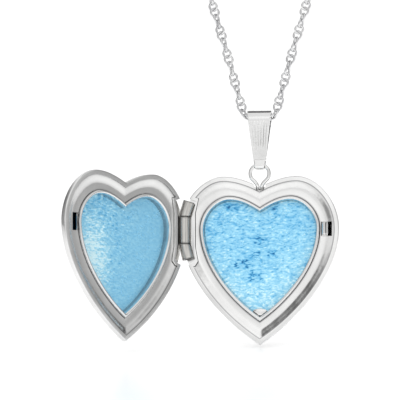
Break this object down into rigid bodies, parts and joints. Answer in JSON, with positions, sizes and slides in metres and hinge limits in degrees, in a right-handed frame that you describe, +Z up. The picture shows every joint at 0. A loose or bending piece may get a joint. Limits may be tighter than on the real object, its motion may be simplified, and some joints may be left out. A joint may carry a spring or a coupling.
{
  "type": "locket",
  "caption": "Heart-shaped locket, standing open on its side hinge, with picture frames over foil inside, on a folded bail and a fine twisted chain",
  "frame": {"origin": "centre of the bail's eye, where the chain passes through", "axes": "+X to the viewer's right, +Z up, -Y towards the viewer; the back half lies in the XZ plane and its picture side faces -Y"},
  "size_m": [0.0319, 0.0154, 0.0511],
  "materials": {
    "polished_silver": "polished sheet, soft streaks",
    "hinge_silver": "drawn tube, fine lines along it",
    "chain_silver": "polished wire",
    "blue_foil": "crinkled light blue foil"
  },
  "bodies": {
    "root": {"chain": "chain_silver", "jump_ring_left": "chain_silver", "jump_ring_right": "chain_silver", "clasp_eye": "chain_silver", "end_ring": "chain_silver", "clasp_body": "chain_silver"},
    "bolt": {"clasp_bolt": "chain_silver"},
    "bail": {"bail_strap": "polished_silver", "bail_fold": "polished_silver"},
    "back": {"back_shell": "polished_silver", "back_flange": "polished_silver", "back_picture_frame": "polished_silver", "back_foil": "blue_foil", "catch_tongue": "polished_silver", "hinge_knuckle_upper": "hinge_silver", "hinge_knuckle_lower": "hinge_silver", "hinge_pin": "hinge_silver", "suspension_loop": "polished_silver"},
    "cover": {"cover_shell": "polished_silver", "cover_flange": "polished_silver", "cover_picture_frame": "polished_silver", "cover_foil": "blue_foil", "hinge_knuckle_middle": "hinge_silver"}
  },
  "joints": [
    {"name": "bail_swing", "type": "hinge", "parent": "root", "child": "bail", "pos_m": [0, 0, 0], "axis": [1, 0, 0], "range_deg": [-75, 75]},
    {"name": "locket_swing", "type": "hinge", "parent": "bail", "child": "back", "pos_m": [0, 0, -0.00542], "axis": [1, 0, 0], "range_deg": [-50, 50]},
    {"name": "cover_hinge", "type": "hinge", "parent": "back", "child": "cover", "pos_m": [-0.009, -0.0003, -0.01327], "axis": [0, 0, 1], "range_deg": [-32, 134]},
    {"name": "clasp_bolt_turn", "type": "hinge", "parent": "root", "child": "bolt", "pos_m": [-0.00787, 0, 0.02138], "axis": [0, -1, 0], "range_deg": [0, 60], "stiffness_Nm_per_rad": 0.0002, "springref_deg": -28.65}
  ]
}
